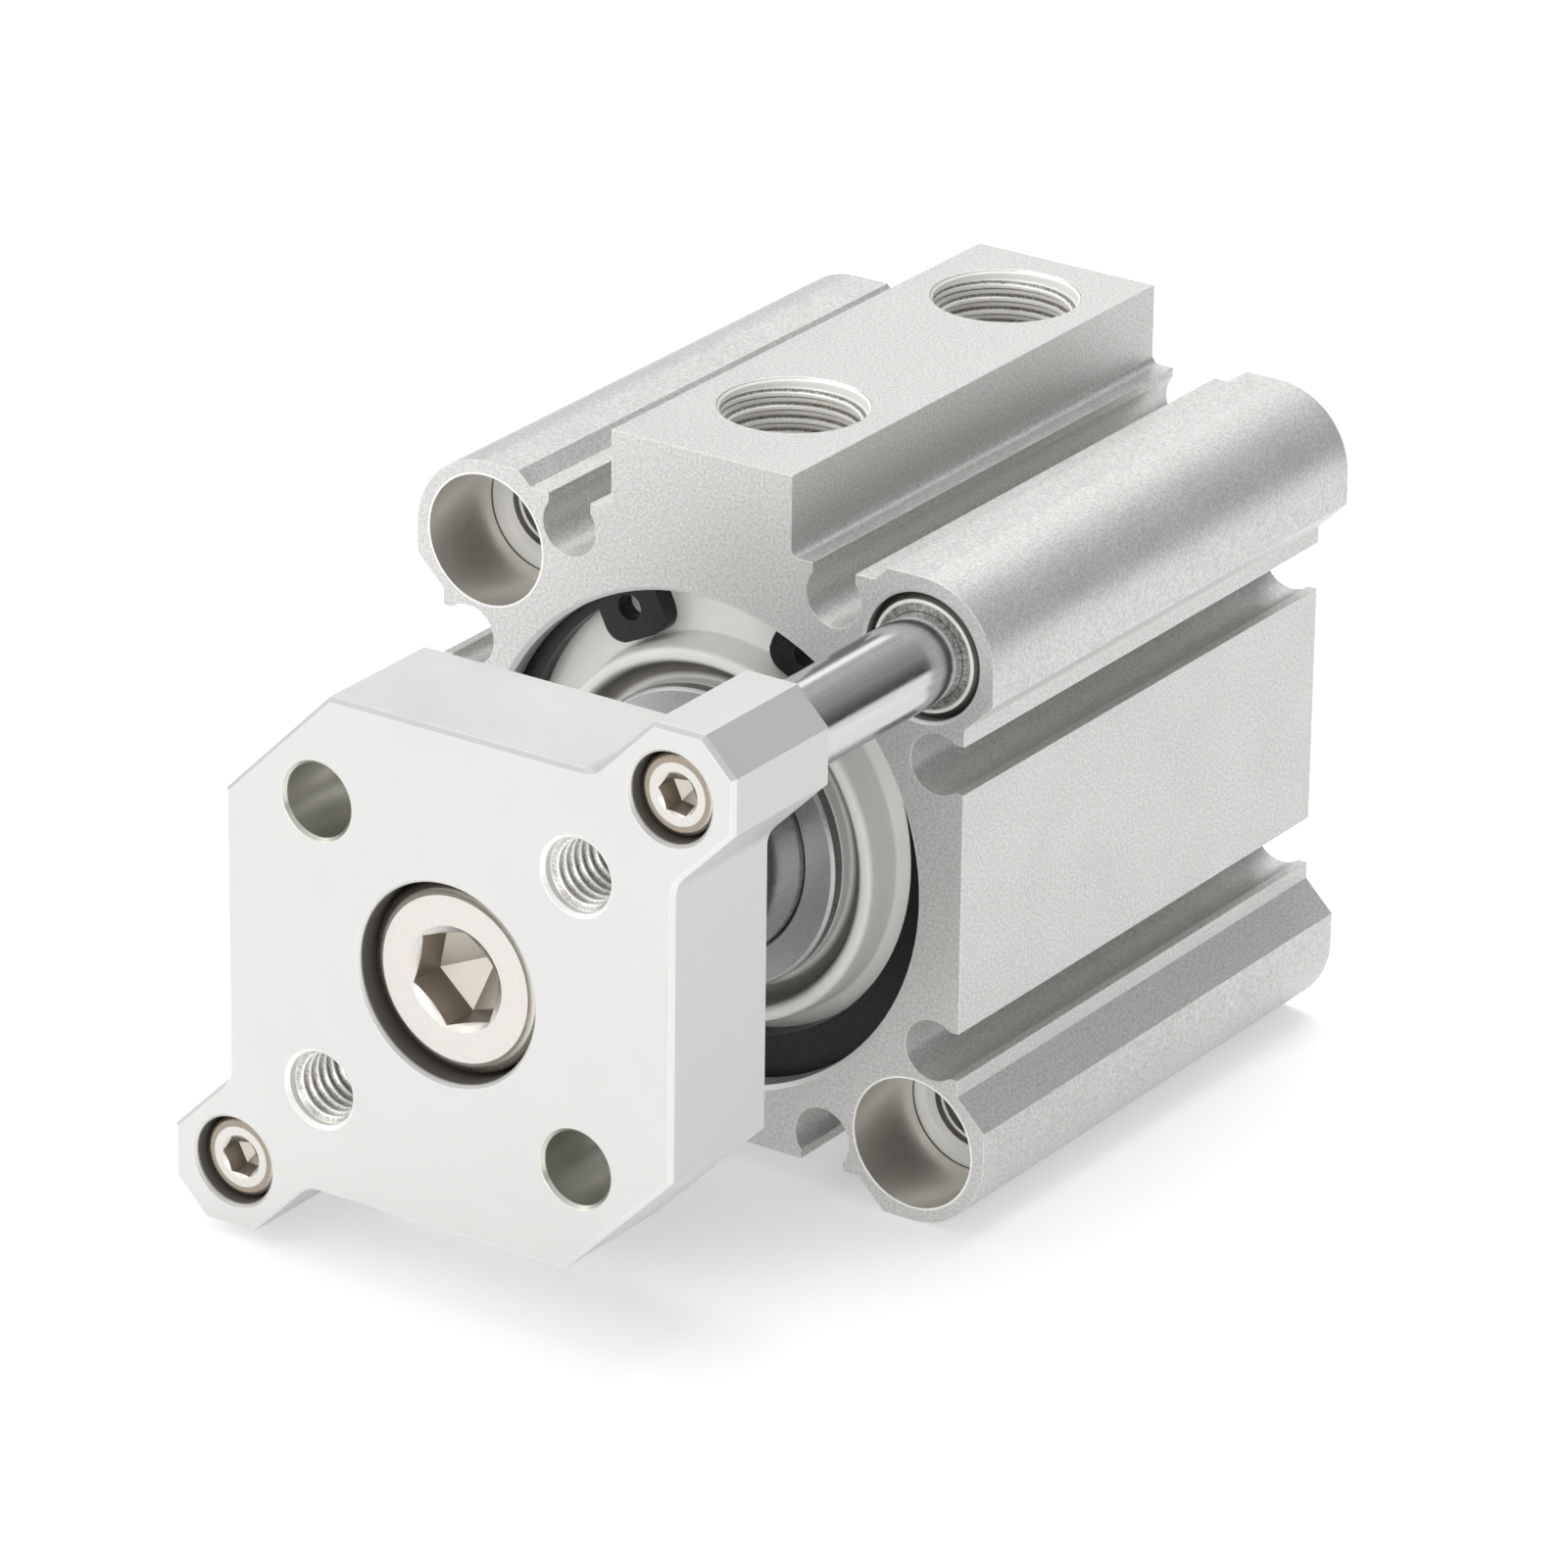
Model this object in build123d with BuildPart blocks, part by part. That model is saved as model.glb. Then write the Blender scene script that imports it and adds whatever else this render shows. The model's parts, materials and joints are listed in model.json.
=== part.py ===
from build123d import *
from math import radians, tan
import os

# Guided compact cylinder, rod fully out. Millimetres.
# The origin is the centre of the body's rod-side face, on the rod axis.
# +X is right seen from the rod side, +Y runs from the rod side to the rear, +Z points to the ports.

# Clearances
seat_gap = 0.02  # between a piece and the seat that holds it
running_gap = 0.03  # radial, a rod in its bush
seal_gap = 0.05  # radial, a seal against what slides past it
edge_break = 0.3  # chamfer on turned and milled edges
bore_break = 0.2  # chamfer at the mouth of a guide bore

# Main sizes
stroke = 10.0
bore_r = 16.0
rod_r = 8.0
guide_r = 3.0
tube_pitch = 34.0  # spacing of the four corner tubes, both ways
tube_at = tube_pitch / 2

# Holes for mounting bolts, in the corner tubes on one diagonal
bolt_hole_r = 2.75
bolt_head_r = 4.5
bolt_head_depth = 7.0
bolt_hole_chamfer = 0.8  # where a hole opens into the room for a bolt head
tube_wall = 1.0  # round a bolt head
corner_r = bolt_head_r + tube_wall
outer_half = tube_at + corner_r

# Faces between the corner tubes, each sunk below the tubes with facets at 45 degrees
side_sink = 2.1
bottom_sink = 2.0
top_sink = 1.0
facet_inset = 2.1  # start of the facets inside a tube's middle, on the sides and the bottom
top_facet_inset = 2.6
side_face = outer_half - side_sink
bottom_face = outer_half - bottom_sink
top_face = outer_half - top_sink

# Port block and ports
port_r = 4.86
port_floor = 3.0  # wall between a port's floor and the bore
port_chamfer = 0.22
front_port_at = 10.5
rear_port_inset = 7.5
passage_r = 1.2  # drilling from a port into the bore
block_wall = 2.14  # beside a port
block_height = 27.0  # top of the block above the rod axis
block_root = 0.6  # fillet at the foot of the block
block_half = port_r + block_wall

# Round grooves for magnetic switches, two on each face
slot_r = 2.1
slot_mouth = 3.3
slot_depth = 1.95  # centre of the round part below its face
slot_to_tube = 7.0  # from a groove's middle to a corner tube's, along the face
top_slot_to_tube = 6.7
slot_at = tube_at - slot_to_tube
top_slot_at = tube_at - top_slot_to_tube

# Guide rods and their bushes, in the corner tubes on the other diagonal
bush_wall = 1.27
bush_length = 13.5
bush_recess = 0.25
bush_spacing = 3.0  # between the front and the rear bush
bush_chamfer = 0.5
guide_in_plate = 3.0
guide_inset = 0.6  # rear end of a guide rod from the body's rear face, rod in
bush_bore_r = guide_r + running_gap
guide_bush_r = bush_bore_r + bush_wall
guide_bore_r = guide_bush_r + seat_gap

# Seat of the collar, and the snap ring that holds it
collar_step = 1.0  # the collar's bore is this much wider than the piston's
collar_seat = 9.0  # depth of the shoulder that the collar rests on
ring_front = 1.9
ring_thickness = 1.5
ring_groove_depth = 0.85
ring_groove_width = 1.6
ring_narrow = 1.3  # width the ring would have at the middle of its gap
ring_gap_half = 16.5  # degrees
ring_lug_turn = 9.5  # degrees from the edge of the gap to the middle of a lug
ring_lug_width = 5.0
ring_lug_round = 1.4
ring_hole_r = 0.9
collar_bore_r = bore_r + collar_step
ring_groove_r = collar_bore_r + ring_groove_depth
ring_r = ring_groove_r - seat_gap

# Rod bush and rod seal
rod_bush_wall = 0.97
rod_bush_flange = 1.0
rod_bush_length = 5.9
rod_seal_depth = 2.9
rod_seal_width = 2.6
rod_seal_lip = 0.8
rod_lip_gap = 0.3  # the collar's own clearance round the rod
rod_bush_r = rod_r + running_gap + rod_bush_wall
rod_seal_r = rod_r + rod_seal_depth

# Collar
hub_face = 0.3
hub_wall = 1.4  # round the bush
dish_floor = 2.3
dish_width = 0.98  # from the hub to the foot of the dish's slope
dish_round = 0.9
dish_slope = 0.6
rim_face = 0.8
rim_width = 0.9
rim_round = 0.42
rim_draft = 0.3  # from the rim out to the foot of its shoulder
lug_gap = 0.3  # between the shoulder and the snap ring's lugs
ring_clear = 0.85  # between the shoulder and the snap ring's widest part
spigot_gap = 1.0  # air channel round the collar's spigot
spigot_length = 0.8
gasket_r = 0.88  # section of the collar's O-ring
gasket_front = 5.2
gasket_width = 2.4
hub_r = rod_bush_r + hub_wall
flange_r = collar_bore_r - seat_gap
flange_face = ring_front + ring_thickness
dish_r = hub_r + dish_width
rim_inner_r = dish_r + dish_slope
rim_outer_r = rim_inner_r + rim_width
shoulder_r = rim_outer_r + rim_draft
collar_rear = collar_seat + spigot_length
gasket_floor_r = flange_r - 2 * gasket_r

# The snap ring clears the collar, and its inner edge is eccentric: widest opposite its gap
ring_lug_reach = shoulder_r + lug_gap
ring_wide = ring_r - shoulder_r - ring_clear
ring_inner_r = ring_r - (ring_wide + ring_narrow) / 2
ring_shift = (ring_wide - ring_narrow) / 2

# Piston, its rings and bumpers, and the end of the rod in it
end_gap = 0.1  # left at each end of the stroke
piston_gap = 0.3  # radial, piston body to bore
piston_chamfer = 1.0
front_land = 2.5
ring_land = 1.0  # wall between two ring grooves
rear_land = 2.5
magnet_groove = 2.6
magnet_depth = 2.6
seal_groove = 3.0
seal_depth = 3.0
seal_notch = 0.8
wear_groove = 2.6
wear_depth = 1.2
wear_slit = 1.0
ring_side_gap = 0.1  # between a ring and the side of its groove
bumper_proud = 1.0
bumper_seat = 1.5
bumper_width = 3.4
bumper_wall = 1.2  # between a bumper and the rod's socket
rod_socket = 4.5  # depth of the piston's seat for the rod
rod_pin_r = 5.0  # rod's thinner end, through the piston
rivet_r = 6.6  # spread head that locks the rod in the piston
rivet_height = 1.8
rod_gasket_r = 0.7
piston_r = bore_r - piston_gap
bumper_inner_r = rod_r + bumper_wall
bumper_outer_r = bumper_inner_r + bumper_width
piston_front = collar_rear + end_gap + bumper_proud
magnet_at = piston_front + front_land
seal_at = magnet_at + magnet_groove + ring_land
wear_at = seal_at + seal_groove + ring_land
piston_rear = wear_at + wear_groove + rear_land

# Body length, which follows from what the bore has to hold
bottom_thickness = 5.8  # wall that closes the rear of the bore
bore_end = piston_rear + bumper_proud + stroke + end_gap
body_length = bore_end + bottom_thickness

# Tip of the rod
rod_flats = 14.0  # across the wrench flats
flats_at = 1.5  # from the tip of the rod
flats_length = 5.0

# Screws
head_gap = 0.25  # radial, a screw head in its recess
shank_gap = 0.3  # radial, a shank in its clearance hole
rod_bolt_r = 4.0
rod_bolt_head_r = 6.5
rod_bolt_head_height = 5.0
rod_bolt_sunk = 1.0  # face of the head below the plate's front
rod_bolt_hex = 6.0
rod_bolt_hex_depth = 2.9
rod_bolt_grip = 12.0  # threaded length in the rod
guide_screw_r = 1.5
guide_screw_head_r = 2.75
guide_screw_head_height = 3.0
guide_screw_sunk = 0.8
guide_screw_hex = 2.5
guide_screw_hex_depth = 1.7
guide_screw_grip = 8.0
head_round = 0.13  # rounding of a screw head's rim, as a share of its radius
socket_cone = 60.0  # half angle of the cone at a socket's mouth, and slope of its pointed floor
socket_lead = 1.04  # mouth of the cone to the socket's corners
floor_flat = 0.2  # flat left in the middle of a socket's floor, as a share of its width
hole_tip = 1.0  # drilled depth past the end of a screw

# End plate, square with two corners cut and a lobe on each of the other two
retracted_gap = 7.2  # plate to body with the rod in
plate_thickness = 10.5
plate_half = 17.3
plate_cut = 8.25
lobe_margin = 4.75  # from a guide rod's axis to the lobe's outer faces
lobe_wall = 1.325  # beside a screw's recess
lobe_tip = 2.35
lobe_root = 2.0
plate_hole_pitch = 20.0
plate_hole_r = 2.5
plate_hole_chamfer = 0.25
lobe_half = tube_at + lobe_margin
lobe_width = 2 * (guide_screw_head_r + head_gap + lobe_wall)
plate_rear = -(retracted_gap + stroke)
plate_front = plate_rear - plate_thickness

# How far each socket head happens to be turned, in degrees
rod_bolt_turn = 18.0
guide_screw_turns = {"right": -5.0, "left": -2.0}

guide_corners = {"right": (tube_at, tube_at), "left": (-tube_at, -tube_at)}
bolt_corners = [(-tube_at, tube_at), (tube_at, -tube_at)]
same = 0.001  # two places nearer than this are the same


def across(y):
    """Plane square to the rod axis at y, seen from the rod side: its axes are X and Z."""
    return Plane.XZ.offset(-y)


def through_axis(x, z):
    """Plane that holds a lengthwise axis at x, z: its axes are the radius and Y."""
    return Plane(origin=(x, 0, z), x_dir=(1, 0, 0), z_dir=(0, 0, 1))


def lengthwise(x, z):
    """Axis along the body at x, z."""
    return Axis((x, 0, z), (0, 1, 0))


def sink_face(depth, inset, turn):
    """Lower the middle of one outer face, up to a facet at 45 degrees beside each corner tube."""
    start = tube_at - inset
    Polygon(
        (outer_half - depth, -start + depth),
        (outer_half, -start),
        (outer_half, start),
        (outer_half - depth, start - depth),
        align=None,
        rotation=turn,
        mode=Mode.SUBTRACT,
    )


def cut_switch_slot(x, z, turn):
    """Round groove with a narrower mouth, open in the direction of turn."""
    with Locations(Location((x, z, 0), (0, 0, turn))):
        Circle(slot_r, mode=Mode.SUBTRACT)
        Rectangle(2 * slot_depth, slot_mouth, align=(Align.MIN, Align.CENTER), mode=Mode.SUBTRACT)


def finish(piece, name):
    """Label a finished piece and write it out."""
    piece.part.label = name
    export_step(piece.part, f"parts/{name}.step")


os.makedirs("parts", exist_ok=True)

# Cylinder tube: the extruded section, then the bore, holes and ports
with BuildPart() as cylinder_tube:
    with BuildSketch(across(body_length)) as section:
        Rectangle(2 * outer_half, 2 * outer_half)
        fillet(section.vertices(), corner_r)
        sink_face(side_sink, facet_inset, 0)
        sink_face(side_sink, facet_inset, 180)
        sink_face(bottom_sink, facet_inset, 270)
        sink_face(top_sink, top_facet_inset, 90)
        with Locations((0, block_height / 2)):
            Rectangle(2 * block_half, block_height)
        block_feet = section.vertices().filter_by(lambda v: abs(v.Y - top_face) < same)
        fillet(block_feet.filter_by(lambda v: abs(abs(v.X) - block_half) < same), block_root)
        for hand in (1, -1):
            cut_switch_slot(hand * top_slot_at, top_face - slot_depth, 90)
            cut_switch_slot(hand * slot_at, slot_depth - bottom_face, 270)
            cut_switch_slot(side_face - slot_depth, hand * slot_at, 0)
            cut_switch_slot(slot_depth - side_face, hand * slot_at, 180)
    extrude(amount=body_length)

    # Bore with the collar's seat and the snap ring's groove, turned in one profile
    with BuildSketch(Plane.XY):
        with BuildLine():
            Polyline(
                (0, 0),
                (collar_bore_r + edge_break, 0),
                (collar_bore_r, edge_break),
                (collar_bore_r, flange_face - ring_groove_width),
                (ring_groove_r, flange_face - ring_groove_width),
                (ring_groove_r, flange_face),
                (collar_bore_r, flange_face),
                (collar_bore_r, collar_seat),
                (bore_r, collar_seat),
                (bore_r, bore_end),
                (0, bore_end),
                close=True,
            )
        make_face()
    revolve(axis=Axis.Y, mode=Mode.SUBTRACT)

    # Guide bores, right through, chamfered at both ends
    for x, z in guide_corners.values():
        with BuildSketch(through_axis(x, z)):
            with BuildLine():
                Polyline(
                    (0, 0),
                    (guide_bore_r + bore_break, 0),
                    (guide_bore_r, bore_break),
                    (guide_bore_r, body_length - bore_break),
                    (guide_bore_r + bore_break, body_length),
                    (0, body_length),
                    close=True,
                )
            make_face()
        revolve(axis=lengthwise(x, z), mode=Mode.SUBTRACT)

    # Mounting holes, right through, with room for a bolt head at both ends
    with BuildSketch(across(body_length)):
        with Locations(*bolt_corners):
            Circle(bolt_hole_r)
    extrude(amount=body_length, mode=Mode.SUBTRACT)
    with BuildSketch(across(body_length)):
        with Locations(*bolt_corners):
            Circle(bolt_head_r)
    extrude(amount=bolt_head_depth, mode=Mode.SUBTRACT)
    with BuildSketch(across(0)):
        with Locations(*bolt_corners):
            Circle(bolt_head_r)
    extrude(amount=-bolt_head_depth, mode=Mode.SUBTRACT)

    steps = cylinder_tube.edges().filter_by(GeomType.CIRCLE)
    steps = steps.filter_by(lambda e: abs(e.radius - bolt_hole_r) < same)
    chamfer(steps, bolt_hole_chamfer)

    # Ports, each with a passage drilled on into the bore
    port_places = [(0, front_port_at), (0, body_length - rear_port_inset)]
    with BuildSketch(Plane.XY.offset(block_height)):
        with Locations(*port_places):
            Circle(port_r)
    extrude(amount=bore_r + port_floor - block_height, mode=Mode.SUBTRACT)
    mouths = cylinder_tube.edges().filter_by(GeomType.CIRCLE)
    mouths = mouths.filter_by(lambda e: abs(e.center().Z - block_height) < same)
    chamfer(mouths, port_chamfer)
    with BuildSketch(Plane.XY.offset(bore_r + port_floor)):
        with Locations(*port_places):
            Circle(passage_r)
    extrude(amount=-port_floor - 2 * passage_r, mode=Mode.SUBTRACT)
finish(cylinder_tube, "cylinder_tube")

# Collar: hub, dished face with a rounded rim, flange, O-ring groove, spigot and seal groove
seal_front = collar_rear - rod_lip_gap - rod_seal_width - seat_gap
seal_rear = collar_rear - rod_lip_gap
bush_seat_r = rod_bush_r + seat_gap
rod_lip_r = rod_r + rod_lip_gap
with BuildPart() as collar:
    with BuildSketch(Plane.XY) as collar_half:
        with BuildLine():
            Polyline(
                (bush_seat_r, hub_face + rod_bush_flange),
                (hub_r, hub_face + rod_bush_flange),
                (hub_r, dish_floor),
                (dish_r, dish_floor),
                (rim_inner_r, rim_face),
                (rim_outer_r, rim_face),
                (shoulder_r, flange_face),
                (flange_r, flange_face),
                (flange_r, gasket_front),
                (gasket_floor_r, gasket_front),
                (gasket_floor_r, gasket_front + gasket_width),
                (flange_r, gasket_front + gasket_width),
                (flange_r, collar_seat),
                (bore_r - spigot_gap, collar_seat),
                (bore_r - spigot_gap, collar_rear),
                (rod_lip_r, collar_rear),
                (rod_lip_r, seal_rear),
                (rod_seal_r + seat_gap, seal_rear),
                (rod_seal_r + seat_gap, seal_front),
                (bush_seat_r, seal_front),
                close=True,
            )
        make_face()
        at = collar_half.vertices
        fillet(at().filter_by(lambda v: abs(v.X - dish_r) < same), dish_round)
        fillet(at().filter_by(lambda v: abs(v.Y - rim_face) < same), rim_round)
    revolve(axis=Axis.Y)
finish(collar, "collar")

# Flanged bush for the rod, pressed into the collar from the front
with BuildPart() as rod_bush:
    with BuildSketch(Plane.XY) as rod_bush_half:
        with BuildLine():
            Polyline(
                (rod_r + running_gap, hub_face),
                (hub_r, hub_face),
                (hub_r, hub_face + rod_bush_flange),
                (rod_bush_r, hub_face + rod_bush_flange),
                (rod_bush_r, hub_face + rod_bush_length),
                (rod_r + running_gap, hub_face + rod_bush_length),
                close=True,
            )
        make_face()
        chamfer(rod_bush_half.vertices().sort_by(Axis.Y)[:2], bore_break)
    revolve(axis=Axis.Y)
finish(rod_bush, "rod_bush")

# Lip seal for the rod, its lips open to the pressure behind the collar
with BuildPart() as rod_seal:
    with BuildSketch(Plane.XY):
        with BuildLine():
            Polyline(
                (rod_r + seal_gap, seal_rear - seat_gap),
                (rod_r + seal_gap, seal_front + 2 * rod_seal_lip),
                (rod_r + rod_lip_gap, seal_front + rod_seal_lip),
                (rod_r + rod_lip_gap, seal_front + seat_gap),
                (rod_seal_r, seal_front + seat_gap),
                (rod_seal_r, seal_rear - seat_gap),
                (rod_seal_r - rod_seal_lip, seal_rear - seat_gap),
                ((rod_r + rod_seal_r) / 2, seal_front + 2 * rod_seal_lip),
                (rod_r + rod_seal_lip, seal_rear - seat_gap),
                close=True,
            )
        make_face()
    revolve(axis=Axis.Y)
finish(rod_seal, "rod_seal")

# O-ring between the collar and the body
with BuildPart() as collar_gasket:
    with BuildSketch(Plane.XY):
        with Locations((gasket_floor_r + gasket_r, gasket_front + gasket_width / 2)):
            Circle(gasket_r)
    revolve(axis=Axis.Y)
finish(collar_gasket, "collar_gasket")

# Snap ring: eccentric inner edge, a gap at the top and a lug with a hole at each end
with BuildPart() as retaining_ring:
    with BuildSketch(across(flange_face)) as ring_outline:
        Circle(ring_r)
        with Locations((0, ring_shift)):
            Circle(ring_inner_r, mode=Mode.SUBTRACT)
        for hand in (1, -1):
            with Locations(Location((0, 0, 0), (0, 0, 90 + hand * (ring_gap_half + ring_lug_turn)))):
                with Locations((ring_lug_reach, 0)):
                    RectangleRounded(
                        ring_r - ring_lug_reach + ring_lug_round,
                        ring_lug_width,
                        ring_lug_round,
                        align=(Align.MIN, Align.CENTER),
                    )
        Circle(ring_r, mode=Mode.INTERSECT)
        gap_half_width = 2 * ring_groove_r * tan(radians(ring_gap_half))
        Polygon(
            (0, 0),
            (gap_half_width, 2 * ring_groove_r),
            (-gap_half_width, 2 * ring_groove_r),
            align=None,
            mode=Mode.SUBTRACT,
        )
        for hand in (1, -1):
            with Locations(Location((0, 0, 0), (0, 0, 90 + hand * (ring_gap_half + ring_lug_turn)))):
                with Locations(((ring_lug_reach + ring_r) / 2, 0)):
                    Circle(ring_hole_r, mode=Mode.SUBTRACT)
    extrude(amount=ring_thickness)
finish(retaining_ring, "retaining_ring")

# Front guide bushes and rear guide bushes, plain sleeves pressed into the guide bores
rear_bush_start = bush_recess + bush_length + bush_spacing
bush_starts = {"front": bush_recess, "rear": rear_bush_start}
for side, (x, z) in guide_corners.items():
    for end, start in bush_starts.items():
        with BuildPart() as guide_bush:
            with BuildSketch(through_axis(x, z)) as bush_half:
                with Locations((bush_bore_r, start)):
                    Rectangle(bush_wall, bush_length, align=(Align.MIN, Align.MIN))
                chamfer(bush_half.vertices().group_by(Axis.X)[-1], bush_chamfer)
            revolve(axis=lengthwise(x, z))
        finish(guide_bush, f"guide_bush_{side}_{end}")

# Piston rod: flats and a threaded hole at the tip, a thinner end riveted over in the piston
rod_end = piston_front + rod_socket
rivet_face = piston_rear - bumper_seat
rod_hole_end = plate_rear + rod_bolt_grip + hole_tip
with BuildPart() as piston_rod:
    with BuildSketch(Plane.XY):
        with BuildLine():
            Polyline(
                (rod_bolt_r + seat_gap, plate_rear),
                (rod_r - edge_break, plate_rear),
                (rod_r, plate_rear + edge_break),
                (rod_r, rod_end),
                (rod_pin_r, rod_end),
                (rod_pin_r, rivet_face),
                (rivet_r, rivet_face),
                (rivet_r, rivet_face + rivet_height / 2),
                (rod_pin_r, rivet_face + rivet_height),
                (0, rivet_face + rivet_height),
                (0, rod_hole_end),
                (rod_bolt_r + seat_gap, rod_hole_end),
                close=True,
            )
        make_face()
    revolve(axis=Axis.Y)
    with BuildSketch(across(plate_rear + flats_at)):
        Rectangle(2 * rod_r, 2 * rod_r)
        Rectangle(rod_flats, 2 * rod_r, mode=Mode.SUBTRACT)
    extrude(amount=-flats_length, mode=Mode.SUBTRACT)
finish(piston_rod, "piston_rod")

# Piston: rod socket in front, three ring grooves, a bumper's seat in each face
gasket_pocket_r = rod_pin_r + 2 * rod_gasket_r + seat_gap
gasket_pocket = rod_end + 2 * rod_gasket_r
with BuildPart() as piston:
    with BuildSketch(Plane.XY) as piston_half:
        with BuildLine():
            Polyline(
                (rod_r + seat_gap, piston_front),
                (bumper_inner_r, piston_front),
                (bumper_inner_r, piston_front + bumper_seat),
                (bumper_outer_r, piston_front + bumper_seat),
                (bumper_outer_r, piston_front),
                (piston_r - piston_chamfer, piston_front),
                (piston_r, piston_front + piston_chamfer),
                (piston_r, magnet_at),
                (piston_r - magnet_depth, magnet_at),
                (piston_r - magnet_depth, magnet_at + magnet_groove),
                (piston_r, magnet_at + magnet_groove),
                (piston_r, seal_at),
                (piston_r - seal_depth, seal_at),
                (piston_r - seal_depth, seal_at + seal_groove),
                (piston_r, seal_at + seal_groove),
                (piston_r, wear_at),
                (piston_r - wear_depth, wear_at),
                (piston_r - wear_depth, wear_at + wear_groove),
                (piston_r, wear_at + wear_groove),
                (piston_r, piston_rear - piston_chamfer),
                (piston_r - piston_chamfer, piston_rear),
                (bumper_outer_r, piston_rear),
                (bumper_outer_r, rivet_face),
                (rod_pin_r + seat_gap, rivet_face),
                (rod_pin_r + seat_gap, gasket_pocket),
                (gasket_pocket_r, gasket_pocket),
                (gasket_pocket_r, rod_end),
                (rod_r + seat_gap, rod_end),
                close=True,
            )
        make_face()
    revolve(axis=Axis.Y)
finish(piston, "piston")

# Rings in the piston's grooves: magnet, lip seal with a groove in its face, slit wear ring
with BuildPart() as magnet:
    with BuildSketch(Plane.XY):
        with Locations((piston_r - magnet_depth + seat_gap, magnet_at + ring_side_gap)):
            Rectangle(
                magnet_depth - 2 * seat_gap,
                magnet_groove - 2 * ring_side_gap,
                align=(Align.MIN, Align.MIN),
            )
    revolve(axis=Axis.Y)
finish(magnet, "magnet")

with BuildPart() as piston_seal:
    with BuildSketch(Plane.XY):
        with BuildLine():
            Polyline(
                (piston_r - seal_depth + seat_gap, seal_at + ring_side_gap),
                (bore_r - seal_gap, seal_at + ring_side_gap),
                (bore_r - seal_gap, seal_at + seal_groove / 2 - seal_notch / 2),
                (bore_r - seal_gap - seal_notch, seal_at + seal_groove / 2),
                (bore_r - seal_gap, seal_at + seal_groove / 2 + seal_notch / 2),
                (bore_r - seal_gap, seal_at + seal_groove - ring_side_gap),
                (piston_r - seal_depth + seat_gap, seal_at + seal_groove - ring_side_gap),
                close=True,
            )
        make_face()
    revolve(axis=Axis.Y)
finish(piston_seal, "piston_seal")

with BuildPart() as wear_ring:
    with BuildSketch(Plane.XY):
        with BuildLine():
            Polyline(
                (piston_r - wear_depth + seat_gap, wear_at + ring_side_gap),
                (bore_r - running_gap, wear_at + ring_side_gap),
                (bore_r - running_gap, wear_at + wear_groove - ring_side_gap),
                (piston_r - wear_depth + seat_gap, wear_at + wear_groove - ring_side_gap),
                close=True,
            )
        make_face()
    revolve(axis=Axis.Y)
    with BuildSketch(across(wear_at)):
        with Locations((0, bore_r)):
            Rectangle(wear_slit, 2 * (wear_depth + piston_gap))
    extrude(amount=-wear_groove, mode=Mode.SUBTRACT)
finish(wear_ring, "wear_ring")

# Rubber bumpers, each seated in a face of the piston and standing proud of it
bumper_faces = {"bumper_rod_side": piston_front - bumper_proud, "bumper_head_side": rivet_face}
for name, face in bumper_faces.items():
    with BuildPart() as bumper:
        with BuildSketch(Plane.XY) as bumper_half:
            with Locations((bumper_inner_r + seat_gap, face)):
                Rectangle(
                    bumper_width - 2 * seat_gap,
                    bumper_seat + bumper_proud,
                    align=(Align.MIN, Align.MIN),
                )
            chamfer(bumper_half.vertices(), bore_break)
        revolve(axis=Axis.Y)
    finish(bumper, name)

# O-ring in the corner between the rod's shoulder and the piston
with BuildPart() as piston_gasket:
    with BuildSketch(Plane.XY):
        with Locations((rod_pin_r + rod_gasket_r, rod_end + rod_gasket_r)):
            Circle(rod_gasket_r)
    revolve(axis=Axis.Y)
finish(piston_gasket, "piston_gasket")

# Guide rods, screwed to the plate and free to slide in their bushes
guide_front = plate_rear - guide_in_plate
guide_rear = body_length - stroke - guide_inset
guide_screw_tip = guide_front + guide_screw_grip
for side, (x, z) in guide_corners.items():
    with BuildPart() as guide_rod:
        with BuildSketch(through_axis(x, z)) as guide_half:
            with BuildLine():
                Polyline(
                    (guide_screw_r + seat_gap, guide_front),
                    (guide_r, guide_front),
                    (guide_r, guide_rear),
                    (0, guide_rear),
                    (0, guide_screw_tip + hole_tip),
                    (guide_screw_r + seat_gap, guide_screw_tip + hole_tip),
                    close=True,
                )
            make_face()
            outside = guide_half.vertices().group_by(Axis.X)[-1]
            chamfer(outside, edge_break)
        revolve(axis=lengthwise(x, z))
    finish(guide_rod, f"guide_rod_{side}")

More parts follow.
